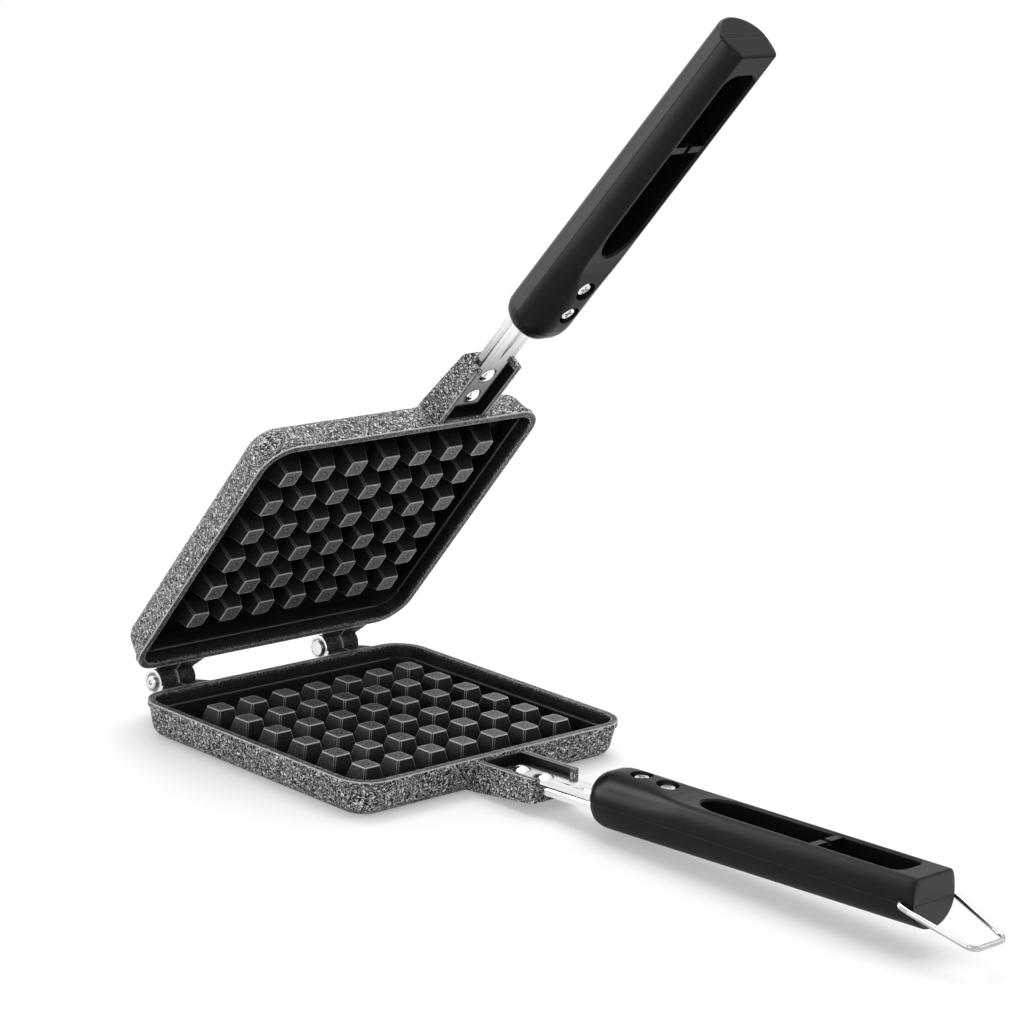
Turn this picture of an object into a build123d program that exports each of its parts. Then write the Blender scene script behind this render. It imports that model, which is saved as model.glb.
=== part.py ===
from build123d import *
import math
import os

# Stovetop waffle maker: two cast pans on two lap hinges, each pan with a riveted steel
# shank and a two-piece moulded grip. The lower grip carries a swinging wire bail.
# Millimetres. Origin at the centre of the lower pan's underside, +Z up, grips toward -Y.
# The upper half stands open, as it is shown for use.

# Pans
pan_width = 154.6
pan_length = 141.0
pan_height = 15.5
pan_corner_radius = 14.0
rim_band = 3.0
lip_height = 2.4
lip_step = 0.7
wall_draft = 11.0
base_edge_radius = 6.0
rim_gap = 0.3
ledge_depth = 5.0
ledge_width = 2.0
ledge_draft = 6.0
cavity_depth = 11.2
cavity_draft = 10.0

# Waffle studs
stud_pitch = 18.0
stud_margin = 8.0
stud_top = 8.4
stud_base = 13.6
stud_below_rim = 1.0
stud_corner = 0.6
stud_field_shift = -3.0

# Hinges
hinge_setback = 10.8
hinge_barrel = 11.0
hinge_bore = 4.4
knuckle_width = 9.2
knuckle_gap = 0.3
hinge_from_side = 30.3
hinge_shift = -2.0
hinge_pad_reach = 4.4
hinge_pad_margin = 5.0
hinge_arm_drop = 3.0
rest_opening = 53.5
pin_clearance = 0.05
pin_head_rim = 1.5
pin_head_height = 1.3
pin_tail_rim = 0.5
pin_tail_height = 1.6
pin_tail_hole = 2.2

# Grip line: both grips lie side by side in the parting plane when the pans are shut
lower_grip_x = 0.0
grip_side_gap = 2.5
grip_tilt = 2.2
grip_line_drop = 3.4

# Cast brackets
bracket_side_room = 1.3
bracket_length = 32.0
bracket_wall = 2.6
bracket_end_wall = 2.6
bracket_floor = 2.4
bracket_top = 1.6
bracket_root_depth = 11.2
bracket_end_depth = 8.4
bracket_anchor = 9.0
bracket_edge_radius = 1.8

# Shanks
shank_width = 19.2
shank_depth = 3.4
shank_sheet = 1.5
shank_face = -1.2
shank_start = 5.5
shank_reach = 45.0
shank_clearance = 0.2
groove_start = 34.0
groove_width = 3.0
groove_depth = 0.7

# Rivets
rivet_positions = (11.5, 24.5)
rivet_diameter = 4.0
rivet_head_diameter = 7.8
rivet_head_height = 1.6
rivet_tail_height = 0.9
rivet_clearance = 0.05

# Grips
grip_start = 58.0
grip_length = 166.0
grip_half_width_front = 13.0
grip_half_width_end = 12.4
grip_inner_front = 12.6
grip_inner_end = 10.2
grip_outer_front = 12.6
grip_outer_end = 10.9
grip_flat_front = 2.4
grip_flat_rim = 0.6
flat_begins = 24.0
flat_full = 50.0
nose_radius_inner = 13.0
nose_radius_outer = 6.0
nose_radius_side = 9.0
nose_flat = 0.42
nose_turn = 15
blend_steps = 4
seam_gap = 0.16
grip_end_radius = 1.0

# Grip pockets, measured from the front of the grip
pocket_start = 52.5
pocket_end_wall = 11.0
short_pocket_length = 39.2
divider_thickness = 3.6
divider_recess = 0.5
divider_notch_width = 2.4
divider_notch_depth = 1.6
pocket_width = 16.2
pocket_corner_radius = 5.0
pocket_front_reach = 16.0
pocket_depth = 14.0
pocket_lip = 0.8
back_notch_from_end = 8.0
back_notch_length = 4.5
back_notch_depth = 1.1

# Grip screws, measured from the front of the grip
screw_places = (20.0, 33.7)
screw_diameter = 4.0
screw_head_diameter = 7.2
screw_head_height = 2.4
screw_recess = 1.0
screw_head_room = 1.0
screw_clearance = 0.1
cross_slot_width = 1.1
cross_slot_length = 4.2
cross_slot_depth = 1.2
insert_diameter = 6.4
insert_length = 5.0
insert_top = -5.2

# Wire bail
bail_wire = 2.3
bail_pivot_from_end = 5.5
bail_hole_depth = 5.0
bail_end_clearance = 0.4
bail_bore_clearance = 0.06
bail_side_clearance = 0.6
bail_straight = 5.0
bail_reach = 33.0
bail_bar_half = 9.5
bail_bend_radius = 1.7
bail_corner_radius = 4.5
bail_droop = 17.0

cavity_inset = rim_band + ledge_depth * math.tan(math.radians(ledge_draft)) + ledge_width
floor_inset = cavity_inset + (cavity_depth - ledge_depth) * math.tan(math.radians(cavity_draft))
hinge_spacing = pan_width - 2 * hinge_from_side
pin_head_diameter = hinge_bore + 2 * pin_head_rim
pin_tail_diameter = hinge_bore + 2 * pin_tail_rim
upper_grip_x = 2 * grip_half_width_front + grip_side_gap
bracket_width = shank_width + 2 * (bracket_side_room + bracket_wall)
shank_end = grip_start + shank_reach
grip_flat_end = pocket_width / 2 + pocket_lip + grip_flat_rim
pocket_end = grip_length - pocket_end_wall
divider_start = pocket_end - short_pocket_length - divider_thickness
screw_positions = tuple(grip_start + place for place in screw_places)
screw_counterbore = screw_head_diameter + 2 * screw_head_room
parting_height = pan_height + rim_gap / 2
rim_front = -pan_length / 2
hinge_y = pan_length / 2 + hinge_setback
hinge_axis = Axis((0, hinge_y, parting_height), (1, 0, 0))
parting_plane = Plane.XY.offset(parting_height)
downward = Plane(origin=(0, 0, 0), x_dir=(1, 0, 0), z_dir=(0, 0, -1))


def tapered_block(width, length, radius, top, depth, draft):
    """Rounded rectangular block that narrows as it goes down from the height called top."""
    outline = downward.offset(-top) * RectangleRounded(width, length, radius)
    return extrude(outline, amount=depth, taper=draft)


def pan_body():
    lip = extrude(
        Plane.XY.offset(pan_height - lip_height)
        * RectangleRounded(pan_width, pan_length, pan_corner_radius),
        amount=lip_height,
    )
    bowl = tapered_block(
        pan_width - 2 * lip_step,
        pan_length - 2 * lip_step,
        pan_corner_radius - lip_step,
        pan_height - lip_height,
        pan_height - lip_height,
        wall_draft,
    )
    bowl = fillet(bowl.edges().group_by(Axis.Z)[0], base_edge_radius)
    return lip + bowl


def pan_cavity():
    upper = tapered_block(
        pan_width - 2 * rim_band,
        pan_length - 2 * rim_band,
        pan_corner_radius - rim_band,
        pan_height,
        ledge_depth,
        ledge_draft,
    )
    lower = tapered_block(
        pan_width - 2 * cavity_inset,
        pan_length - 2 * cavity_inset,
        pan_corner_radius - cavity_inset + ledge_width,
        pan_height - ledge_depth,
        cavity_depth - ledge_depth,
        cavity_draft,
    )
    return upper + lower


def stud_count(pan_size):
    """How many studs fit in a row between the cavity's walls."""
    room = pan_size - 2 * (floor_inset + stud_margin) - stud_base
    return int(room / stud_pitch) + 1


def waffle_studs():
    height = cavity_depth - stud_below_rim
    slope = math.degrees(math.atan((stud_base - stud_top) / 2 / height))
    stud = extrude(Rectangle(stud_base, stud_base), amount=height, taper=slope)
    stud = chamfer(stud.edges().group_by(Axis.Z)[1], stud_corner)
    floor = pan_height - cavity_depth
    spots = GridLocations(stud_pitch, stud_pitch, stud_count(pan_width), stud_count(pan_length))
    return [stud.moved(Location((0, stud_field_shift, floor)) * spot) for spot in spots]


def on_grip_line(grip_x):
    """Frame at the rim's front edge on the grip's centre line; -Y runs along the grip."""
    return Location((grip_x, rim_front, parting_height - grip_line_drop), (-grip_tilt, 0, 0))


def side_plate(points, width):
    """Prism across the grip line. Points are (distance from the rim, height above the line)."""
    outline = Polyline(*[(0, -distance, height) for distance, height in points], close=True)
    return extrude(make_face(outline), amount=width / 2, dir=(1, 0, 0), both=True)


def bracket_bottom(distance):
    slope = (bracket_root_depth - bracket_end_depth) / bracket_length
    return -bracket_root_depth + slope * distance


def pan_bracket():
    wall_anchor = rim_band - 0.6
    anchor_top = -bracket_root_depth + bracket_floor
    block = side_plate(
        [
            (-wall_anchor, bracket_top),
            (bracket_length, bracket_top),
            (bracket_length, bracket_bottom(bracket_length)),
            (0, bracket_bottom(0)),
            (-bracket_anchor, bracket_bottom(0) - 0.3),
            (-bracket_anchor, anchor_top),
            (-wall_anchor, anchor_top),
        ],
        bracket_width,
    )
    end_edges = block.faces().sort_by(Axis.Y)[0].edges().filter_by(Axis.Z)
    block = fillet(end_edges, bracket_edge_radius)
    trough_end = bracket_length - bracket_end_wall
    trough = side_plate(
        [
            (1.0, bracket_top + 1),
            (trough_end, bracket_top + 1),
            (trough_end, bracket_bottom(trough_end) + bracket_floor),
            (1.0, bracket_bottom(1.0) + bracket_floor),
        ],
        bracket_width - 2 * bracket_wall,
    )
    shank_bottom = shank_face - shank_depth - shank_clearance
    notch = side_plate(
        [
            (trough_end - 1, bracket_top + 1),
            (bracket_length + 1, bracket_top + 1),
            (bracket_length + 1, shank_bottom),
            (trough_end - 1, shank_bottom),
        ],
        shank_width + 2 * shank_clearance,
    )
    pad_start = shank_start + 0.5
    pad_end = trough_end - 1.0
    pad = side_plate(
        [
            (pad_start, shank_face - shank_sheet),
            (pad_end, shank_face - shank_sheet),
            (pad_end, bracket_bottom(pad_end) + 1),
            (pad_start, bracket_bottom(pad_start) + 1),
        ],
        shank_width - 2 * shank_sheet - 4 * shank_clearance,
    )
    holes = [
        Pos(0, -place, 0) * Cylinder(rivet_diameter / 2 + rivet_clearance, 40) for place in rivet_positions
    ]
    return block - trough - notch + pad - holes


def hinge_knuckles(side):
    """Side is -1 for the lower pan's knuckles and +1 for the upper pan's."""
    rim_back = pan_length / 2
    arm_bottom = parting_height - hinge_barrel / 2
    arm_outline = Polyline(
        (0, rim_back - rim_band, pan_height),
        (0, hinge_y, pan_height),
        (0, hinge_y, arm_bottom),
        (0, hinge_y - hinge_arm_drop, arm_bottom),
        (0, rim_back - 2, arm_bottom - hinge_arm_drop),
        (0, rim_back - rim_band, arm_bottom - hinge_arm_drop),
        close=True,
    )
    arm = extrude(make_face(arm_outline), amount=knuckle_width / 2, dir=(1, 0, 0), both=True)
    on_axis = Pos(0, hinge_y, parting_height) * Rot(0, 90, 0)
    barrel = on_axis * Cylinder(hinge_barrel / 2, knuckle_width)
    pad_half = knuckle_width + knuckle_gap / 2
    pad_outline = Polyline(
        (-pad_half - hinge_pad_margin, rim_back - 1),
        (-pad_half, rim_back + hinge_pad_reach),
        (pad_half, rim_back + hinge_pad_reach),
        (pad_half + hinge_pad_margin, rim_back - 1),
        close=True,
    )
    pad = Pos(0, 0, pan_height - lip_height) * extrude(make_face(pad_outline), amount=lip_height)
    knuckles = []
    for middle in hinge_places():
        centre = middle + side * (knuckle_width + knuckle_gap) / 2
        knuckles += [Pos(centre, 0, 0) * barrel, Pos(centre, 0, 0) * arm, Pos(middle, 0, 0) * pad]
    return knuckles


def hinge_places():
    return [hinge_shift - hinge_spacing / 2, hinge_shift + hinge_spacing / 2]


def hinge_bores():
    bore = Pos(0, hinge_y, parting_height) * Rot(0, 90, 0) * Cylinder(hinge_bore / 2, knuckle_width * 3)
    return [Pos(middle, 0, 0) * bore for middle in hinge_places()]


def pan(grip_x, side):
    """A whole casting in the lower pan's position."""
    casting = pan_body() + hinge_knuckles(side) + on_grip_line(grip_x) * pan_bracket()
    return casting - pan_cavity() + waffle_studs() - hinge_bores()


def shank():
    middle = (shank_start + shank_end) / 2
    length = shank_end - shank_start
    channel = Pos(0, -middle, shank_face - shank_depth / 2) * Box(shank_width, length, shank_depth)
    bends = channel.edges().filter_by(Axis.Y).group_by(Axis.Z)[-1]
    channel = fillet(bends, shank_sheet)
    hollow_depth = shank_depth - shank_sheet
    hollow = Pos(0, -middle, shank_face - shank_sheet - hollow_depth / 2) * Box(
        shank_width - 2 * shank_sheet, length, hollow_depth
    )
    groove_outline = Polyline(
        (0, -groove_start),
        (groove_width / 2, -groove_start - 4 * groove_width),
        (groove_width / 2, -shank_end),
        (-groove_width / 2, -shank_end),
        (-groove_width / 2, -groove_start - 4 * groove_width),
        close=True,
    )
    groove = Pos(0, 0, shank_face - groove_depth) * extrude(make_face(groove_outline), amount=2)
    rivet_hole = Cylinder(rivet_diameter / 2 + rivet_clearance, 30)
    screw_hole = Cylinder(screw_diameter / 2 + 3 * screw_clearance, 30)
    holes = [Pos(0, -place, 0) * rivet_hole for place in rivet_positions]
    holes += [Pos(0, -place, 0) * screw_hole for place in screw_positions]
    return channel - hollow - groove - holes


def rivet(place):
    tail_face = bracket_bottom(place)
    length = shank_face - tail_face
    shaft = Pos(0, 0, shank_face - length / 2) * Cylinder(rivet_diameter / 2, length)
    radius = (rivet_head_diameter**2 / 4 + rivet_head_height**2) / (2 * rivet_head_height)
    ball = Pos(0, 0, shank_face + rivet_head_height - radius) * Sphere(radius)
    crown_middle = shank_face + rivet_head_height / 2
    crown = Pos(0, 0, crown_middle) * Cylinder(rivet_head_diameter / 2, rivet_head_height)
    slope = math.degrees(math.atan2(bracket_root_depth - bracket_end_depth, bracket_length))
    tail = Pos(0, 0, tail_face) * Rot(-slope, 0, 0) * Pos(0, 0, -rivet_tail_height / 2) * Cylinder(
        rivet_head_diameter / 2 - 0.3, rivet_tail_height
    )
    return Pos(0, -place, 0) * (shaft + (crown & ball) + tail)


def ease(value, start, end):
    """Goes smoothly from 0 at start to 1 at end."""
    share = min(max((value - start) / (end - start), 0), 1)
    return share * share * (3 - 2 * share)


def nose(distance, radius):
    """Share of the full size at a distance behind the rounded front of the grip."""
    share = min(distance / radius, 1)
    return nose_flat + (1 - nose_flat) * math.sqrt(1 - (1 - share) ** 2)


def grip_half_width(distance):
    return grip_half_width_front + (grip_half_width_end - grip_half_width_front) * distance / grip_length


def grip_inner_height(distance):
    return grip_inner_front + (grip_inner_end - grip_inner_front) * ease(distance, flat_begins, flat_full)


def grip_outer_depth(distance):
    return grip_outer_front + (grip_outer_end - grip_outer_front) * distance / grip_length


def grip_section(distance, inset=0.0):
    """Section across the grip: flat or round on the inner side, round on the outer side."""
    flat_share = ease(distance, flat_begins, flat_full)
    flat = grip_flat_front + (grip_flat_end - grip_flat_front) * flat_share
    flat *= nose(distance, nose_radius_side)
    half_width = grip_half_width(distance) * nose(distance, nose_radius_side) - inset
    inner = grip_inner_height(distance) * nose(distance, nose_radius_inner) - inset
    outer = grip_outer_depth(distance) * nose(distance, nose_radius_outer) - inset
    corner = half_width - flat
    outline = [
        EllipticalCenterArc((flat, 0), corner, inner, 0, arc_size=90),
        Line((flat, inner), (-flat, inner)),
        EllipticalCenterArc((-flat, 0), corner, inner, 90, arc_size=90),
        EllipticalCenterArc((0, 0), half_width, outer, 180, arc_size=90),
        EllipticalCenterArc((0, 0), half_width, outer, 270, arc_size=90),
    ]
    plane = Plane(origin=(0, -grip_start - distance, 0), x_dir=(1, 0, 0), z_dir=(0, -1, 0))
    return plane * make_face(outline)


def grip_body():
    nose_turns = [math.radians(nose_turn * step) for step in range(int(90 / nose_turn) + 1)]
    sections = [grip_section(nose_radius_inner * (1 - math.cos(turn))) for turn in nose_turns]
    blend = (flat_full - flat_begins) / blend_steps
    sections += [grip_section(flat_begins + blend * step) for step in range(blend_steps + 1)]
    round_begins = grip_length - grip_end_radius
    for turn in (0, 45, 90):
        forward = grip_end_radius * math.sin(math.radians(turn))
        inset = grip_end_radius * (1 - math.cos(math.radians(turn)))
        sections.append(grip_section(round_begins + forward, inset))
    return loft(sections, ruled=True)


def grip_block(start, end, bottom, top, width):
    """Block across the grip between two distances from its front."""
    middle = grip_start + (start + end) / 2
    return Pos(0, -middle, (bottom + top) / 2) * Box(width, end - start, top - bottom)


def pocket_outline(height, grown):
    """Outline of both pockets: half an ellipse toward the pan, rounded corners at the far end."""
    half_width = pocket_width / 2 + grown
    front = -grip_start - pocket_start - pocket_front_reach
    back = -grip_start - pocket_end - grown
    radius = pocket_corner_radius + grown
    outline = [
        EllipticalCenterArc((0, front), half_width, pocket_front_reach + grown, 0, arc_size=180),
        Line((-half_width, front), (-half_width, back + radius)),
        CenterArc((-half_width + radius, back + radius), radius, 180, 90),
        Line((-half_width + radius, back), (half_width - radius, back)),
        CenterArc((half_width - radius, back + radius), radius, 270, 90),
        Line((half_width, back + radius), (half_width, front)),
    ]
    return Plane.XY.offset(height) * make_face(outline)


def grip_pockets():
    floor = grip_inner_end - pocket_depth
    hollow = extrude(pocket_outline(floor, 0), amount=pocket_depth + 5)
    mouth = pocket_outline(grip_inner_end, pocket_lip)
    hollow += loft([pocket_outline(grip_inner_end - pocket_lip, 0), mouth])
    divider_end = divider_start + divider_thickness
    top = grip_inner_end - divider_recess
    divider = grip_block(divider_start, divider_end, floor - 1, top, pocket_width + 1)
    slot_bottom = top - divider_notch_depth
    slot = grip_block(divider_start - 1, divider_end + 1, slot_bottom, top + 1, divider_notch_width)
    return hollow, divider - slot


def bail_holes():
    distance = grip_start + grip_length - bail_pivot_from_end
    offset = grip_half_width_end - bail_hole_depth / 2 + 1
    hole = Rot(0, 90, 0) * Cylinder(bail_wire / 2 + bail_bore_clearance, bail_hole_depth + 2)
    return [Pos(side * offset, -distance, 0) * hole for side in (-1, 1)]


def screw_seat(place):
    """Height of the underside of a screw's head above the grip line."""
    return grip_inner_height(place - grip_start) - screw_recess - screw_head_height


def grip_inner(with_bail):
    whole = grip_body()
    region = grip_block(-1, grip_length + 1, seam_gap / 2, 40, 60)
    boss_length = shank_end - grip_start
    region += grip_block(-1, boss_length, shank_face + shank_clearance / 2, 2, shank_width)
    half = whole & region
    hollow, divider = grip_pockets()
    half -= hollow
    half += divider & region
    for place in screw_positions:
        seat = screw_seat(place)
        half -= Pos(0, -place, seat + 10) * Cylinder(screw_counterbore / 2, 20)
        half -= Pos(0, -place, 0) * Cylinder(screw_diameter / 2 + screw_clearance, 40)
    if with_bail:
        half -= bail_holes()
    return half


def grip_outer(with_bail):
    half = grip_body() & grip_block(-1, grip_length + 1, -40, -seam_gap / 2, 60)
    shank_bottom = shank_face - shank_depth - shank_clearance / 2
    slot_end = shank_end - grip_start + 1
    half -= grip_block(-1, slot_end, shank_bottom, 2, shank_width + shank_clearance)
    hollow, divider = grip_pockets()
    half -= hollow - divider
    notch_end = grip_length - back_notch_from_end
    notch_top = back_notch_depth - grip_outer_depth(notch_end)
    half -= grip_block(notch_end - back_notch_length, notch_end, -40, notch_top, 60)
    for place in screw_positions:
        insert_middle = insert_top - insert_length / 2
        half -= Pos(0, -place, insert_middle) * Cylinder(insert_diameter / 2, insert_length)
        half -= Pos(0, -place, insert_top) * Cylinder(screw_diameter / 2 + screw_clearance, 4)
    if with_bail:
        half -= bail_holes()
    return half


def grip_screw(place):
    seat = screw_seat(place)
    bottom = insert_top - insert_length + 1
    shaft = Pos(0, 0, (seat + bottom) / 2) * Cylinder(screw_diameter / 2, seat - bottom)
    head = Pos(0, 0, seat + screw_head_height / 2) * Cylinder(screw_head_diameter / 2, screw_head_height)
    head = chamfer(head.edges().group_by(Axis.Z)[-1], screw_head_height / 3)
    slot_height = seat + screw_head_height - cross_slot_depth / 2
    slot = Box(cross_slot_length, cross_slot_width, cross_slot_depth)
    cross = Pos(0, 0, slot_height) * (slot + Rot(0, 0, 90) * slot)
    return Pos(0, -place, 0) * (head + shaft - cross)


def threaded_insert(place):
    body = Cylinder(insert_diameter / 2, insert_length) - Cylinder(screw_diameter / 2, insert_length + 1)
    return Pos(0, -place, insert_top - insert_length / 2) * body


def hinge_pin(middle, head_side):
    """Pin with a flat head at one end and a hollow swaged tail at the other."""
    reach = knuckle_width + knuckle_gap / 2
    shaft = Cylinder(hinge_bore / 2 - pin_clearance, 2 * reach)
    head = Pos(0, 0, reach + pin_head_height / 2) * Cylinder(pin_head_diameter / 2, pin_head_height)
    head = chamfer(head.edges().group_by(Axis.Z)[-1], pin_head_height / 4)
    tail = Pos(0, 0, -reach - pin_tail_height / 2) * Cylinder(pin_tail_diameter / 2, pin_tail_height)
    tail = chamfer(tail.edges().group_by(Axis.Z)[0], pin_tail_height / 3)
    hole = Pos(0, 0, -reach - pin_tail_height) * Cylinder(pin_tail_hole / 2, 2 * pin_tail_hole)
    pin = shaft + head + tail - hole
    return Pos(middle, hinge_y, parting_height) * Rot(0, 90 * head_side, 0) * pin


def wire_bail():
    leg = grip_half_width_end + bail_side_clearance + bail_wire / 2
    inner_end = grip_half_width_end - bail_hole_depth + bail_end_clearance
    half_path = [(inner_end, 0), (leg, 0), (leg, -bail_straight), (bail_bar_half, -bail_reach)]
    other_half = [(-x, y) for x, y in reversed(half_path)]
    half_radii = [bail_bend_radius, bail_corner_radius, bail_corner_radius]
    path = FilletPolyline(*half_path, *other_half, radius=half_radii + half_radii[::-1])
    start = Plane(origin=path @ 0, z_dir=path % 0)
    wire = sweep(start * Circle(bail_wire / 2), path=path)
    distance = grip_start + grip_length - bail_pivot_from_end
    return Location((0, -distance, 0), (bail_droop, 0, 0)) * wire


def lower_half():
    line = on_grip_line(lower_grip_x)
    pieces = {
        "lower_pan": pan(lower_grip_x, -1),
        "wire_bail": line * wire_bail(),
        "hinge_pin_left": hinge_pin(hinge_places()[0], 1),
        "hinge_pin_right": hinge_pin(hinge_places()[1], -1),
    }
    for name, piece in grip_parts(with_bail=True).items():
        pieces["lower_" + name] = line * piece
    return pieces


def upper_half():
    """Made in the lower pan's position, then turned over the parting plane and opened."""
    line = on_grip_line(upper_grip_x)
    pieces = {"upper_pan": pan(upper_grip_x, 1)}
    for name, piece in grip_parts(with_bail=False).items():
        pieces["upper_" + name] = line * piece
    return {
        name: piece.mirror(parting_plane).rotate(hinge_axis, -rest_opening)
        for name, piece in pieces.items()
    }


def grip_parts(with_bail):
    parts = {
        "shank": shank(),
        "grip_inner": grip_inner(with_bail),
        "grip_outer": grip_outer(with_bail),
    }
    for place, rivet_place, screw_place in zip(("front", "rear"), rivet_positions, screw_positions):
        parts["rivet_" + place] = rivet(rivet_place)
        parts["screw_" + place] = grip_screw(screw_place)
        parts["insert_" + place] = threaded_insert(screw_place)
    return parts


def write_parts():
    os.makedirs("parts", exist_ok=True)
    for name, piece in {**lower_half(), **upper_half()}.items():
        print(name, len(piece.solids()), piece.is_valid, round(piece.volume, 1))
        export_step(piece, f"parts/{name}.step")


write_parts()
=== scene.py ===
import bpy
import math
from mathutils import Matrix, Vector

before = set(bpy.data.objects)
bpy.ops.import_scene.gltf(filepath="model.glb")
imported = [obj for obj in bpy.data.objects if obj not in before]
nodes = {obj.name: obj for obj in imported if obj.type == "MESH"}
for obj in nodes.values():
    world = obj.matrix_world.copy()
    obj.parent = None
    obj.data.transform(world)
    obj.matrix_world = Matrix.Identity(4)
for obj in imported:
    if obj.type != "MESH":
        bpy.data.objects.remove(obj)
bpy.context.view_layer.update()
print("frame loaded:", len(nodes), "CAD nodes")


# Colours and nodes

def linear(hexColour):  # sRGB hex, such as "#2b2b2d", to the linear colour that a shader takes
    values = [int(hexColour[i:i + 2], 16) / 255 for i in (1, 3, 5)]
    return tuple(v / 12.92 if v <= 0.04045 else ((v + 0.055) / 1.055) ** 2.4 for v in values) + (1.0,)


def addNode(material, kind, inputs=None, output=0, **settings):
    # inputs gives a number, a colour or another node's socket; output None gives the node itself
    node = material.node_tree.nodes.new("ShaderNode" + kind)
    for name, value in settings.items():
        setattr(node, name, value)
    for key, value in (inputs or {}).items():
        if isinstance(value, bpy.types.NodeSocket):
            material.node_tree.links.new(value, node.inputs[key])
        else:
            node.inputs[key].default_value = value
    return node if output is None else node.outputs[output]


def newMaterial(name):
    material = bpy.data.materials.new(name)
    material.use_nodes = True
    material.node_tree.nodes.clear()
    return material


def paint(material, below, above, *masks):
    # lays one colour over another where every mask is 1; a plain number among the masks thins it
    amount = masks[0]
    for mask in masks[1:]:
        amount = addNode(material, "Math", {0: amount, 1: mask}, operation="MULTIPLY")
    return addNode(material, "Mix", {0: amount, 6: below, 7: above}, 2, data_type="RGBA")


lineCore = 0.4  # share of a line's half width that has its full strength


def lineAt(material, value, middle, half):  # 1 along the middle, 0 from half away
    apart = addNode(material, "Math", {0: value, 1: middle}, operation="SUBTRACT")
    away = addNode(material, "Math", {0: apart}, operation="ABSOLUTE")
    return addNode(material, "MapRange", {0: away, 1: half, 2: half * lineCore},
                   interpolation_type="SMOOTHSTEP")


def fromCentre(material, first, second):  # the length of two distances at right angles
    squares = [addNode(material, "Math", {0: v, 1: v}, operation="MULTIPLY") for v in (first, second)]
    total = addNode(material, "Math", {0: squares[0], 1: squares[1]}, operation="ADD")
    return addNode(material, "Math", {0: total}, operation="SQRT")


# Places in a material are in millimetres. An upper piece is read as if its half lay shut on the
# lower one and was then turned over, so both halves share one set of masks.

hinge = {"y": 81.3, "z": 15.65, "opening": 53.5, "meetings": (-49.0, 45.0)}
pan = {"halfWidth": 77.3, "halfLength": 70.5, "corner": 14.0, "rimInside": 11.0, "top": 15.5}
studs = {"pitch": 18.0, "shift": {"x": 0.0, "y": 6.0}, "top": 14.5}
handleTilt = 2.2
handle = {"middle": {"lower": 0.0, "upper": 28.5}, "rise": math.tan(math.radians(handleTilt))}


def inMillimetres(material, half="lower"):
    metres = addNode(material, "TexCoord", output=3)
    place = addNode(material, "Mapping", {"Vector": metres, "Scale": (1000, 1000, 1000)})
    if half == "upper":
        steps = ({"Location": (0, -hinge["y"], -hinge["z"])},
                 {"Rotation": (math.radians(hinge["opening"]), 0, 0)},
                 {"Location": (0, hinge["y"], hinge["z"]), "Scale": (1, 1, -1)})
        for step in steps:
            place = addNode(material, "Mapping", {"Vector": place, **step})
    return place


def acrossRim(material, x, y):  # 14 along the pan's outer edge and 11 along the rim's inner edge
    over = []
    for value, half in ((x, pan["halfWidth"]), (y, pan["halfLength"])):
        side = addNode(material, "Math", {0: value}, operation="ABSOLUTE")
        past = addNode(material, "Math", {0: side, 1: half - pan["corner"]}, operation="SUBTRACT")
        over.append(addNode(material, "Math", {0: past, 1: 0.0}, operation="MAXIMUM"))
    return fromCentre(material, *over)


def fromStud(material, value, shift):  # distance along one axis from the middle of the nearest stud
    pitch = studs["pitch"]
    moved = addNode(material, "Math", {0: value, 1: pitch / 2 - shift}, operation="ADD")
    inPitch = addNode(material, "Math", {0: moved, 1: pitch}, operation="FLOORED_MODULO")
    apart = addNode(material, "Math", {0: inPitch, 1: pitch / 2}, operation="SUBTRACT")
    return addNode(material, "Math", {0: apart}, operation="ABSOLUTE")


def onHandle(material, place, half):
    # how far in front of the pan, how far aside from the handle's middle, how high over its line
    x, y, z = addNode(material, "SeparateXYZ", {0: place}, None).outputs
    distance = addNode(material, "Math", {0: -pan["halfLength"], 1: y}, operation="SUBTRACT")
    shifted = addNode(material, "Math", {0: x, 1: handle["middle"][half]}, operation="SUBTRACT")
    aside = addNode(material, "Math", {0: shifted}, operation="ABSOLUTE")
    rise = addNode(material, "Math", {0: distance, 1: handle["rise"]}, operation="MULTIPLY")
    level = addNode(material, "Math", {0: z, 1: rise}, operation="SUBTRACT")
    return distance, aside, level


def fromHinge(material, place):  # distance from the axis of the hinge
    _, y, z = addNode(material, "SeparateXYZ", {0: place}, None).outputs
    behind = addNode(material, "Math", {0: y, 1: hinge["y"]}, operation="SUBTRACT")
    above = addNode(material, "Math", {0: z, 1: hinge["z"]}, operation="SUBTRACT")
    return fromCentre(material, behind, above)


# In the dictionaries below, each {1: ..., 2: ...} holds inputs of a Map Range node: 1 and 2 are
# where a mask begins and where it is full, and 3 and 4 the values there, if not 0 and 1. A name
# that ends in Shows is a mask's strength.


# The cast pans

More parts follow.
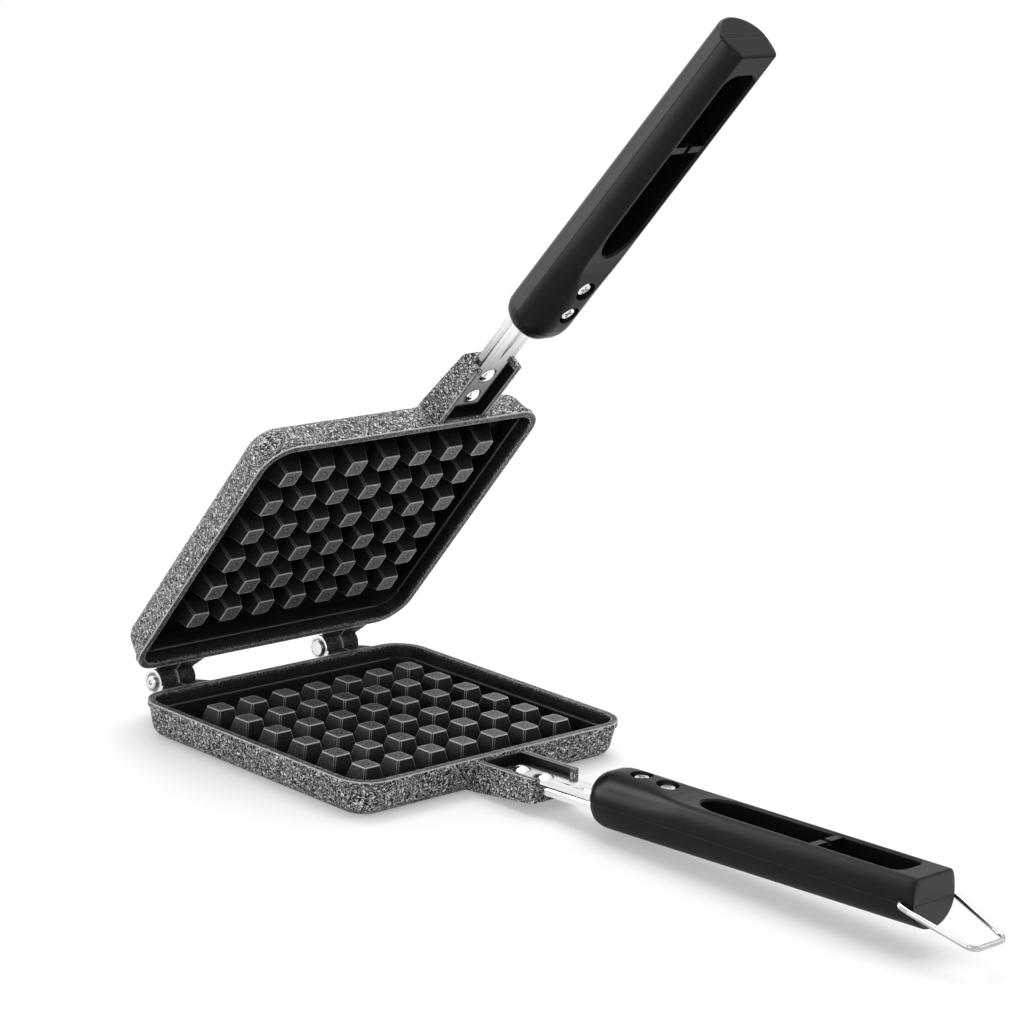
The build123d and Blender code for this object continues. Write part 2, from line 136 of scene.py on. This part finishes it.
worn = "#e2e2e3"
coat = {
    # grain, waver, swirl, lot, cloud and dot are the sizes of noise patterns in millimetres
    "hex": "#29292b", "dark": "#0b0b0c", "fleck": "#cbcbcd", "speck": "#efeff0", "speckShows": 0.8,
    "grain": 0.7, "grit": {1: 0.32, 2: 0.68}, "waver": 1.4, "wobble": {1: 0.0, 2: 1.0, 3: -0.4, 4: 0.4},
    "swirl": 2.7, "turns": 42.0, "curls": {1: -0.05, 2: 0.95},
    "lot": 1.2, "broken": {1: 0.3, 2: 0.62, 3: 0.25, 4: 0.95},
    "cloud": 24.0, "patches": {1: 0.25, 2: 0.75, 3: 0.7, 4: 1.0},
    "dot": 0.95, "specks": {1: 0.66, 2: 0.74},
    "specular": 0.14, "roughness": {1: 0.0, 2: 1.0, 3: 0.34, 4: 0.58}, "machinedSmoother": -0.12,
    "edgeRadius": 0.00035, "bumpStrength": 0.3, "bumpDepth": 0.00015, "curlsInBump": 0.5,
}


def speckledCoat(material, place, grit):
    # pale curls half a millimetre wide that wind round each other, with a few near-white specks
    swirl = addNode(material, "TexNoise", {"Vector": place, "Scale": 1 / coat["swirl"], "Detail": 1.0,
                                           "Distortion": 0.6})
    turned = addNode(material, "Math", {0: swirl, 1: coat["turns"]}, operation="MULTIPLY")
    wave = addNode(material, "Math", {0: turned}, operation="SINE")
    curls = addNode(material, "MapRange", {0: wave, **coat["curls"]}, interpolation_type="SMOOTHSTEP")
    lot = addNode(material, "TexNoise", {"Vector": place, "Scale": 1 / coat["lot"], "Detail": 1.0})
    broken = addNode(material, "MapRange", {0: lot, **coat["broken"]})
    cloud = addNode(material, "TexNoise", {"Vector": place, "Scale": 1 / coat["cloud"], "Detail": 2.0})
    patches = addNode(material, "MapRange", {0: cloud, **coat["patches"]})
    dots = addNode(material, "TexNoise", {"Vector": place, "Scale": 1 / coat["dot"], "Detail": 0.0})
    specks = addNode(material, "MapRange", {0: dots, **coat["specks"]}, interpolation_type="SMOOTHSTEP")
    ground = paint(material, linear(coat["dark"]), linear(coat["hex"]), grit)
    colour = paint(material, ground, linear(coat["fleck"]), curls, broken, patches)
    return paint(material, colour, linear(coat["speck"]), specks, coat["speckShows"]), wave


rim = {
    "hex": "#2b2b2d", "shows": 0.6, "outerShows": 0.55, "innerShows": 0.4, "innerHalf": 0.35,
    "onPan": {1: pan["corner"] + 0.6, 2: pan["corner"] + 0.3},
    "band": {1: pan["rimInside"] - 0.2, 2: pan["rimInside"] + 0.1},
    "nearTop": {1: pan["top"] - 0.2, 2: pan["top"] - 0.05},
    "outer": {1: pan["corner"] - 0.5, 2: pan["corner"] - 0.2},
    "high": {1: pan["top"] - 0.6, 2: pan["top"] - 0.25},
}


def rimCoat(material, colour, z, rimPlace, wobble):
    # the flat rim is plainer, with a thin rubbed line along both of its edges
    onPan = addNode(material, "MapRange", {0: rimPlace, **rim["onPan"]})
    nearTop = addNode(material, "MapRange", {0: z, **rim["nearTop"]})
    band = addNode(material, "MapRange", {0: rimPlace, **rim["band"]})
    colour = paint(material, colour, linear(rim["hex"]), nearTop, band, onPan, rim["shows"])
    edgePlace = addNode(material, "Math", {0: rimPlace, 1: wobble}, operation="ADD")
    outer = addNode(material, "MapRange", {0: edgePlace, **rim["outer"]})
    high = addNode(material, "MapRange", {0: z, **rim["high"]})
    colour = paint(material, colour, linear(worn), outer, high, onPan, rim["outerShows"])
    inner = lineAt(material, edgePlace, pan["rimInside"], rim["innerHalf"])
    return paint(material, colour, linear(worn), inner, nearTop, rim["innerShows"])


bracket = {
    "smooth": "#101011", "wallHex": "#3a3a3c", "wallShows": 0.7, "edgeHalf": 0.4,
    "edges": ({"aside": 13.3, "shows": 0.6}, {"aside": 11.0, "shows": 0.35}),
    "ahead": {1: 0.15, 2: 0.4}, "short": {1: 29.9, 2: 29.6}, "between": {1: 11.4, 2: 11.2},
    "floor": 2.3, "floorRise": 0.0875, "overFloor": {1: -0.3, 2: 0.3}, "wallTop": {1: 13.55, 2: 13.75},
}


def bracketCoat(material, colour, place, half):
    # smooth black in the trough that holds the shank, and plainer walls with rubbed top edges
    distance, aside, level = onHandle(material, place, half)
    ahead = addNode(material, "MapRange", {0: distance, **bracket["ahead"]})
    short = addNode(material, "MapRange", {0: distance, **bracket["short"]})
    between = addNode(material, "MapRange", {0: aside, **bracket["between"]})
    floor = addNode(material, "Math", {0: distance, 1: bracket["floorRise"], 2: bracket["floor"]},
                    operation="MULTIPLY_ADD")
    height = addNode(material, "Math", {0: level, 1: floor}, operation="SUBTRACT")
    overFloor = addNode(material, "MapRange", {0: height, **bracket["overFloor"]})
    colour = paint(material, colour, linear(bracket["smooth"]), ahead, between, short, overFloor)
    wallTop = addNode(material, "MapRange", {0: level, **bracket["wallTop"]})
    colour = paint(material, colour, linear(bracket["wallHex"]), wallTop, ahead, bracket["wallShows"])
    for edge in bracket["edges"]:
        line = lineAt(material, aside, edge["aside"], bracket["edgeHalf"])
        colour = paint(material, colour, linear(worn), line, wallTop, ahead, edge["shows"])
    return colour


cavity = {
    # ring, dimple, edge and corner are measured from a stud's middle, and the ledge across the rim
    "satin": "#060607", "satinPale": "#313132", "top": "#333334", "topPale": "#757577",
    "dimpleHex": "#a0a0a2", "edgeHex": "#e0e0e2", "cornerShineHex": "#c0c0c2", "ledgeHex": "#8a8a8c",
    "edgeShows": {"lower": 0.85, "upper": 0.6}, "cornerShineShows": {"lower": 0.6, "upper": 0.3},
    "ringShows": 0.6, "dimpleShows": 0.6, "ledgeShows": 0.45,
    "within": {1: pan["rimInside"] + 0.05, 2: pan["rimInside"] - 0.15}, "above": {1: 3.0, 2: 3.4},
    "field": {1: 6.0, 2: 5.0}, "paling": {1: 5.0, 2: studs["top"]},
    "onTop": {1: studs["top"] - 0.2, 2: studs["top"] - 0.05},
    "upperEdge": {1: studs["top"] - 0.45, 2: studs["top"] - 0.2},
    "rising": {1: 6.5, 2: studs["top"] - 0.6}, "underTop": {1: studs["top"] - 0.1, 2: studs["top"] - 0.3},
    "ring": 1.1, "ringHalf": 0.6, "dimple": {1: 0.8, 2: 0.3}, "edge": {1: 3.85, 2: 4.05},
    "corner": 0.62, "cornerHalf": 0.24,
    "ledge": 8.47, "ledgeHalf": 0.35, "ledgeHeight": 10.5, "ledgeHeightHalf": 0.7,
}


def cavityCoat(material, x, y, z, rimPlace, grit, wobble, half):
    # plain satin black, painted darker towards the floor as shade: each stud has a rubbed grey top
    # with a pale dimple, top edges that are worn and brightened by a painted highlight, and two
    # fine painted highlight lines down each bevelled corner
    field = addNode(material, "MapRange", {0: rimPlace, **cavity["field"]})
    u, v = (fromStud(material, value, studs["shift"][axis]) for value, axis in ((x, "x"), (y, "y")))
    # painted shade: the satin darkens towards the floor between the studs
    paling = addNode(material, "MapRange", {0: z, **cavity["paling"]})
    colour = paint(material, linear(cavity["satin"]), linear(cavity["satinPale"]), paling, paling, grit)
    onTop = addNode(material, "MapRange", {0: z, **cavity["onTop"]})
    rubbed = paint(material, linear(cavity["top"]), linear(cavity["topPale"]), grit)
    colour = paint(material, colour, rubbed, onTop, field)
    around = fromCentre(material, u, v)
    ring = lineAt(material, around, cavity["ring"], cavity["ringHalf"])
    colour = paint(material, colour, linear(cavity["satin"]), ring, onTop, field, cavity["ringShows"])
    dimple = addNode(material, "MapRange", {0: around, **cavity["dimple"]})
    colour = paint(material, colour, linear(cavity["dimpleHex"]), dimple, onTop, field,
                   cavity["dimpleShows"])
    # worn top edges with a painted highlight on them, brighter on the lower half than on the upper
    furthest = addNode(material, "Math", {0: u, 1: v}, operation="MAXIMUM")
    reach = addNode(material, "Math", {0: furthest, 1: wobble}, operation="ADD")
    atEdge = addNode(material, "MapRange", {0: reach, **cavity["edge"]})
    upperEdge = addNode(material, "MapRange", {0: z, **cavity["upperEdge"]})
    colour = paint(material, colour, linear(cavity["edgeHex"]), atEdge, upperEdge, field,
                   cavity["edgeShows"][half])
    # painted highlight: two fine bright lines down each bevelled corner, brighter on the lower half
    across = addNode(material, "Math", {0: u, 1: v}, operation="SUBTRACT")
    apart = addNode(material, "Math", {0: across}, operation="ABSOLUTE")
    rising = addNode(material, "MapRange", {0: z, **cavity["rising"]})
    underTop = addNode(material, "MapRange", {0: z, **cavity["underTop"]})
    corner = lineAt(material, apart, cavity["corner"], cavity["cornerHalf"])
    colour = paint(material, colour, linear(cavity["cornerShineHex"]), corner, rising, rising, underTop, field,
                   cavity["cornerShineShows"][half])

    # the ledge round the cavity is rubbed grey along its edge
    ledgeEdge = lineAt(material, rimPlace, cavity["ledge"], cavity["ledgeHalf"])
    ledgeLevel = lineAt(material, z, cavity["ledgeHeight"], cavity["ledgeHeightHalf"])
    return paint(material, colour, linear(cavity["ledgeHex"]), ledgeEdge, ledgeLevel, cavity["ledgeShows"])


knuckle = {
    "hex": "#0d0d0e", "shows": 0.9, "machined": "#d9d9db", "machinedDull": "#aeaeb0", "pinShadeHex": "#1a1a1b",
    "facing": {1: 0.9, 2: 0.97}, "behind": {1: pan["halfLength"] + 0.2, 2: pan["halfLength"] + 0.6},
    "meetingHalf": 0.9, "meetingShows": 0.7, "pinShade": {1: 4.5, 2: 3.9}, "pinShadeShows": 0.75,
}


def knuckleCoat(material, colour, place, grit):
    # black barrels rubbed bright where two meet, with side faces machined bright and painted
    # shade round the pin; the second result is the mask of the machined faces
    x, y, _ = addNode(material, "SeparateXYZ", {0: place}, None).outputs
    normal = addNode(material, "TexCoord", output=1)
    sideways = addNode(material, "SeparateXYZ", {0: normal}, None).outputs[0]
    facing = addNode(material, "Math", {0: sideways}, operation="ABSOLUTE")
    flat = addNode(material, "MapRange", {0: facing, **knuckle["facing"]})
    behind = addNode(material, "MapRange", {0: y, **knuckle["behind"]})
    colour = paint(material, colour, linear(knuckle["hex"]), behind, knuckle["shows"])
    for middle in hinge["meetings"]:
        meeting = lineAt(material, x, middle, knuckle["meetingHalf"])
        colour = paint(material, colour, linear(worn), meeting, behind, grit, knuckle["meetingShows"])
    turned = paint(material, linear(knuckle["machinedDull"]), linear(knuckle["machined"]), grit)
    # painted shade: the machined faces darken close round the pin
    pinShade = addNode(material, "MapRange", {0: fromHinge(material, place), **knuckle["pinShade"]})
    turned = paint(material, turned, linear(knuckle["pinShadeHex"]), pinShade, knuckle["pinShadeShows"])
    machined = addNode(material, "Math", {0: flat, 1: behind}, operation="MULTIPLY")
    return paint(material, colour, turned, machined), machined


def castAluminiumWithSpeckledCoat(name, half):
    # sand-cast aluminium under a sprayed dark coat with pale flecks outside and plain satin black
    # inside, rubbed bright along its edges: matte walls that sparkle, and soft black studs
    cast = newMaterial(name)
    place = inMillimetres(cast, half)
    x, y, z = addNode(cast, "SeparateXYZ", {0: place}, None).outputs
    rimPlace = acrossRim(cast, x, y)
    fine = addNode(cast, "TexNoise", {"Vector": place, "Scale": 1 / coat["grain"], "Detail": 3.0,
                                      "Roughness": 0.7})
    grit = addNode(cast, "MapRange", {0: fine, **coat["grit"]}, interpolation_type="SMOOTHSTEP")
    waver = addNode(cast, "TexNoise", {"Vector": place, "Scale": 1 / coat["waver"], "Detail": 3.0})
    wobble = addNode(cast, "MapRange", {0: waver, **coat["wobble"]})

    outside, wave = speckledCoat(cast, place, grit)
    outside = rimCoat(cast, outside, z, rimPlace, wobble)
    outside = bracketCoat(cast, outside, place, half)
    inside = cavityCoat(cast, x, y, z, rimPlace, grit, wobble, half)
    within = addNode(cast, "MapRange", {0: rimPlace, **cavity["within"]})
    above = addNode(cast, "MapRange", {0: z, **cavity["above"]})
    colour = paint(cast, outside, inside, within, above)
    colour, machined = knuckleCoat(cast, colour, place, grit)

    softEdge = addNode(cast, "Bevel", {"Radius": coat["edgeRadius"]}, samples=4)
    bumps = addNode(cast, "Math", {0: wave, 1: coat["curlsInBump"], 2: fine}, operation="MULTIPLY_ADD")
    bump = addNode(cast, "Bump", {"Strength": coat["bumpStrength"], "Distance": coat["bumpDepth"],
                                  "Height": bumps, "Normal": softEdge})
    rough = addNode(cast, "MapRange", {0: fine, **coat["roughness"]})
    roughness = addNode(cast, "Math", {0: machined, 1: coat["machinedSmoother"], 2: rough},
                        operation="MULTIPLY_ADD")
    shader = addNode(cast, "BsdfPrincipled", {"Specular IOR Level": coat["specular"], "Base Color": colour,
                                              "Roughness": roughness, "Normal": bump, "Metallic": machined})
    addNode(cast, "OutputMaterial", {"Surface": shader}, None)
    return cast


# Steel and brass

metals = {
    # grain and, in metalSkin, cloud are the sizes of noise patterns in millimetres
    "rolled": {"hex": "#f0f0f2", "dull": "#b9b9bd", "roughness": 0.04, "grain": 0.25},
    "rivet": {"hex": "#f2f2f3", "dull": "#dcdcde", "roughness": 0.04, "grain": 0.6},
    "wire": {"hex": "#c2c2c6", "dull": "#838388", "roughness": 0.09, "grain": 0.5},
    "zinc": {"hex": "#f0f0f1", "dull": "#cfcfd2", "roughness": 0.2, "grain": 0.4},
    "turned": {"hex": "#dcdcde", "dull": "#b2b2b5", "roughness": 0.14, "grain": 0.3},
    "brass": {"hex": "#c9a455", "dull": "#a5803a", "roughness": 0.24, "grain": 0.3},
}
metalSkin = {"cloud": 9.0, "streaks": {1: 0.3, 2: 0.7}, "dullShows": 0.4, "scratchRoughness": 0.12,
             "bumpStrength": 0.08, "bumpDepth": 0.00005}
rollingMarks = (6, 0.3, 1)  # fine across a shank and long along it
# painted shade and dark reflection on a shank near the pan, and painted shadow rings round its rivets
shankShade = {"hex": "#262628", "lower": ({1: 34.0, 2: 12.0}, 0.3), "upper": ({1: 62.0, 2: 14.0}, 0.9),
          "rivets": (11.5, 24.5), "ring": 4.1, "ringHalf": 0.6, "ringShows": 0.8}
pinRimShade = {"hex": "#303032", "radius": 3.5, "half": 0.5, "shows": 0.8}


def shadeShank(material, colour, place, half):
    # a shank gets painted shade and a painted dark reflection of the bracket where it is riveted into
    # the pan, with a painted shadow round each rivet
    distance, aside, _ = onHandle(material, place, half)
    reach, strength = shankShade[half]
    nearPan = addNode(material, "MapRange", {0: distance, **reach}, interpolation_type="SMOOTHSTEP")
    colour = paint(material, colour, linear(shankShade["hex"]), nearPan, strength)
    for middle in shankShade["rivets"]:
        along = addNode(material, "Math", {0: distance, 1: middle}, operation="SUBTRACT")
        ring = lineAt(material, fromCentre(material, aside, along), shankShade["ring"], shankShade["ringHalf"])
        colour = paint(material, colour, linear(shankShade["hex"]), ring, shankShade["ringShows"])
    return colour


def brightMetal(name, finish, half="lower", stretch=(1, 1, 1)):
    # bright rolled, drawn or turned metal: clear reflections, drawn out along the way it was made
    metal, look = newMaterial(name), metals[finish]
    place = inMillimetres(metal, half)
    along = addNode(metal, "Mapping", {"Vector": place, "Scale": stretch})
    scratch = addNode(metal, "TexNoise", {"Vector": along, "Scale": 1 / look["grain"], "Detail": 4.0,
                                          "Roughness": 0.6})
    cloud = addNode(metal, "TexNoise", {"Vector": along, "Scale": 1 / metalSkin["cloud"], "Detail": 2.0})
    streaks = addNode(metal, "MapRange", {0: cloud, **metalSkin["streaks"]},
                      interpolation_type="SMOOTHSTEP")
    colour = paint(metal, linear(look["hex"]), linear(look["dull"]), streaks, metalSkin["dullShows"])
    if finish == "rolled":
        colour = shadeShank(metal, colour, place, half)
    # painted shade: the pin's head darkens in a ring just inside its rim
    if finish == "turned":  # a dark ring inside the rim of a pin's head
        ring = lineAt(metal, fromHinge(metal, place), pinRimShade["radius"], pinRimShade["half"])
        colour = paint(metal, colour, linear(pinRimShade["hex"]), ring, pinRimShade["shows"])
    roughness = addNode(metal, "Math", {0: scratch, 1: metalSkin["scratchRoughness"], 2: look["roughness"]},
                        operation="MULTIPLY_ADD")
    bump = addNode(metal, "Bump", {"Strength": metalSkin["bumpStrength"],
                                   "Distance": metalSkin["bumpDepth"], "Height": scratch})
    shader = addNode(metal, "BsdfPrincipled", {"Metallic": 1.0, "Base Color": colour,
                                               "Roughness": roughness, "Normal": bump})
    addNode(metal, "OutputMaterial", {"Surface": shader}, None)
    return metal


# The grips of phenolic resin

seam = 12.25  # level of the parting line
pocketHalf = 8.1
grip = {
    # pebble and cloud are noise sizes in millimetres; radius goes from plain edges to shoulders, in metres
    "hex": "#070708", "pale": "#111112", "pebble": 0.5, "cloud": 14.0,
    "end": 224.6, "atEnd": {1: 0.25, 2: 0.1}, "endHex": "#3f3f41", "endShows": {"lower": 0.9, "upper": 0.1},
    "aboveSeam": {1: seam + 2.5, 2: seam + 5}, "besidePocket": {1: pocketHalf + 0.9, 2: pocketHalf + 1.6},
    "radius": {3: 0.0004, 4: 0.0045}, "roughness": 0.27, "pebbleRoughness": 0.12, "specular": 0.11,
    "bumpStrength": 0.14, "bumpDepth": 0.0001,
}


def mouldedPhenolic(name, half):
    # compression-moulded black phenolic resin: deep satin black, a broad soft highlight along its
    # rounded shoulders and a fine pebbled skin from the mould. Its end faces are painted paler, each
    # half's by its own share, because under these lamps they come out darker than in the photo
    resin = newMaterial(name)
    place = inMillimetres(resin, half)
    distance, aside, level = onHandle(resin, place, half)
    pebble = addNode(resin, "TexNoise", {"Vector": place, "Scale": 1 / grip["pebble"], "Detail": 3.0,
                                         "Roughness": 0.6})
    cloud = addNode(resin, "TexNoise", {"Vector": place, "Scale": 1 / grip["cloud"], "Detail": 2.0})
    colour = paint(resin, linear(grip["hex"]), linear(grip["pale"]), cloud)
    z = addNode(resin, "SeparateXYZ", {0: place}, None).outputs[2]
    reach = addNode(resin, "Math", {0: z, 1: -handle["rise"], 2: grip["end"]}, operation="MULTIPLY_ADD")
    toEnd = addNode(resin, "Math", {0: reach, 1: distance}, operation="SUBTRACT")
    atEnd = addNode(resin, "MapRange", {0: toEnd, **grip["atEnd"]})
    colour = paint(resin, colour, linear(grip["endHex"]), atEnd, grip["endShows"][half])

    # the shoulders are rounder than the other edges, so the highlight along them is broad
    aboveSeam = addNode(resin, "MapRange", {0: level, **grip["aboveSeam"]})
    besidePocket = addNode(resin, "MapRange", {0: aside, **grip["besidePocket"]})
    shoulder = addNode(resin, "Math", {0: aboveSeam, 1: besidePocket}, operation="MULTIPLY")
    radius = addNode(resin, "MapRange", {0: shoulder, **grip["radius"]})
    softEdge = addNode(resin, "Bevel", {"Radius": radius}, samples=8)
    bump = addNode(resin, "Bump", {"Strength": grip["bumpStrength"], "Distance": grip["bumpDepth"],
                                   "Height": pebble, "Normal": softEdge})
    roughness = addNode(resin, "Math", {0: pebble, 1: grip["pebbleRoughness"], 2: grip["roughness"]},
                        operation="MULTIPLY_ADD")
    shader = addNode(resin, "BsdfPrincipled", {"Specular IOR Level": grip["specular"], "Base Color": colour,
                                               "Roughness": roughness, "Normal": bump})
    addNode(resin, "OutputMaterial", {"Surface": shader}, None)
    return resin


def give(nodeName, material):
    slots = nodes[nodeName].data.materials
    slots.clear()
    slots.append(material)


for half in ("lower", "upper"):
    phenolic = mouldedPhenolic("moulded_phenolic_" + half, half)
    give(half + "_pan", castAluminiumWithSpeckledCoat("cast_aluminium_speckled_" + half, half))
    give(half + "_shank", brightMetal("rolled_steel_" + half, "rolled", half, rollingMarks))
    rivetSteel = brightMetal("rivet_steel_" + half, "rivet", half)
    screwSteel = brightMetal("zinc_steel_" + half, "zinc", half)
    brass = brightMetal("turned_brass_" + half, "brass", half)
    for end in ("front", "rear"):
        give(half + "_rivet_" + end, rivetSteel)
        give(half + "_screw_" + end, screwSteel)
        give(half + "_insert_" + end, brass)
    for side in ("inner", "outer"):
        give(half + "_grip_" + side, phenolic)
pinSteel = brightMetal("turned_pin_steel", "turned")
for side in ("left", "right"):
    give("hinge_pin_" + side, pinSteel)
give("wire_bail", brightMetal("polished_wire", "wire"))
print("materials given")


# Floor, light and camera. Their places and sizes are in metres, apart from the floor's fade.

paper = {"size": 6.0, "under": 0.0003, "hex": "#f4f4f4", "lift": 0.3, "fade": {1: 330.0, 2: 700.0}}
worldLight = 0.56
softBoxes = {
    # a box with shineOnly draws highlights without washing out the shadows
    "overhead": {"place": (0.3, 0.3, 1.5), "target": (0, 0, 0), "size": (1.3, 1.5), "power": 21,
                 "shineOnly": False},
    "behind": {"place": (-0.7, 1.8, 0.75), "target": (0, -0.1, 0.1), "size": (1.2, 1.35), "power": 15,
               "shineOnly": True},
    "behindHigh": {"place": (-0.9, 1.4, 1.25), "target": (0, -0.1, 0.05), "size": (0.8, 0.6), "power": 22,
                   "shineOnly": True},
    "low": {"place": (-0.65, 0.62, 0.22), "target": (0, -0.15, 0.12), "size": (0.5, 0.35), "power": 4.5,
            "shineOnly": True},
    "left": {"place": (-1.5, -0.35, 0.6), "target": (0, 0, 0.05), "size": (0.9, 0.8), "power": 6,
             "shineOnly": False},
    "front": {"place": (-1.1, -1.2, 0.7), "target": (0, 0, 0.05), "size": (0.5, 0.6), "power": 2.5,
              "shineOnly": False},
    "side": {"place": (1.3, -0.8, 0.9), "target": (0, 0, 0.05), "size": (0.5, 1.2), "power": 2,
             "shineOnly": False},
}


def paleFloor():
    # matte studio paper that fades into the white background
    bpy.ops.object.select_all(action="DESELECT")
    bpy.ops.mesh.primitive_plane_add(size=paper["size"], location=(0, 0, -paper["under"]))
    floor = bpy.context.object
    floor.name = "floor"
    sheet = newMaterial("studio_paper")
    x, y, _ = addNode(sheet, "SeparateXYZ", {0: inMillimetres(sheet)}, None).outputs
    away = addNode(sheet, "MapRange", {0: fromCentre(sheet, x, y), **paper["fade"]},
                   interpolation_type="SMOOTHSTEP")
    rays = addNode(sheet, "LightPath", output=None).outputs
    direct = rays["Is Camera Ray"]
    seen = addNode(sheet, "Math", {0: direct, 1: rays["Is Glossy Ray"]}, operation="MAXIMUM")
    far = addNode(sheet, "Math", {0: away, 1: seen}, operation="MULTIPLY")
    lifted = addNode(sheet, "Math", {0: direct, 1: paper["lift"]}, operation="MULTIPLY")
    near = addNode(sheet, "Math", {0: 1.0, 1: far}, operation="SUBTRACT")
    white = addNode(sheet, "Math", {0: near, 1: lifted, 2: far}, operation="MULTIPLY_ADD")
    matte = addNode(sheet, "BsdfDiffuse", {"Color": linear(paper["hex"])})
    glow = addNode(sheet, "Emission", {"Strength": 1.0})
    mix = addNode(sheet, "MixShader", {0: white, 1: matte, 2: glow})
    addNode(sheet, "OutputMaterial", {"Surface": mix}, None)
    floor.data.materials.append(sheet)


def softBox(name, look):
    lamp = bpy.data.lights.new(name, "AREA")
    lamp.shape = "RECTANGLE"
    lamp.size, lamp.size_y = look["size"]
    lamp.energy = look["power"]
    box = bpy.data.objects.new(name, lamp)
    bpy.context.scene.collection.objects.link(box)
    box.location = look["place"]
    aim = Vector(look["target"]) - Vector(look["place"])
    box.rotation_euler = aim.to_track_quat("-Z", "Y").to_euler()
    box.visible_camera = False
    box.visible_diffuse = not look["shineOnly"]


def whiteWorld():
    # white to the camera and in reflections, and softer as light on the piece
    world = bpy.data.worlds.new("studio")
    bpy.context.scene.world = world
    world.use_nodes = True
    world.node_tree.nodes.clear()
    rays = addNode(world, "LightPath", output=None).outputs
    seen = addNode(world, "Math", {0: rays["Is Camera Ray"], 1: rays["Is Glossy Ray"]}, operation="MAXIMUM")
    light, white = (addNode(world, "Background", {"Color": (1, 1, 1, 1), "Strength": strength})
                    for strength in (worldLight, 1.0))
    mix = addNode(world, "MixShader", {0: seen, 1: light, 2: white})
    addNode(world, "OutputWorld", {"Surface": mix}, None)


# The camera that took the photograph. Its focal length is in pixels of its frame. The aim lies
# distance in front of it, and right and up of its axis, in units of one stud pitch.
view = {"azimuth": -45.634, "elevation": 14.109, "roll": 3.705, "focal": 3476.941, "frame": 1024,
        "right": -2.878, "up": -4.672, "distance": 81.112, "unit": 0.018,
        "aim": (0.0, -0.003, 0.0145), "sensor": 36, "clip": 20}


def photographCamera():
    azimuth, elevation, roll = (math.radians(view[key]) for key in ("azimuth", "elevation", "roll"))
    back = Vector((math.sin(azimuth) * math.cos(elevation), -math.cos(azimuth) * math.cos(elevation),
                   math.sin(elevation)))
    level = Vector((math.cos(azimuth), math.sin(azimuth), 0))
    upright = back.cross(level)
    right = level * math.cos(roll) + upright * math.sin(roll)
    up = upright * math.cos(roll) - level * math.sin(roll)
    place = back * view["distance"] - right * view["right"] - up * view["up"]
    place = place * view["unit"] + Vector(view["aim"])
    data = bpy.data.cameras.new("camera")
    data.sensor_width = view["sensor"]
    data.lens = view["focal"] * view["sensor"] / view["frame"]
    data.clip_end = view["clip"]
    camera = bpy.data.objects.new("camera", data)
    bpy.context.scene.collection.objects.link(camera)
    camera.matrix_world = Matrix((
        (right.x, up.x, back.x, place.x), (right.y, up.y, back.y, place.y),
        (right.z, up.z, back.z, place.z), (0, 0, 0, 1)))
    bpy.context.scene.camera = camera


paleFloor()
whiteWorld()
for name, look in softBoxes.items():
    softBox(name, look)
photographCamera()
bpy.context.scene.view_settings.view_transform = "Standard"
print("stage set")
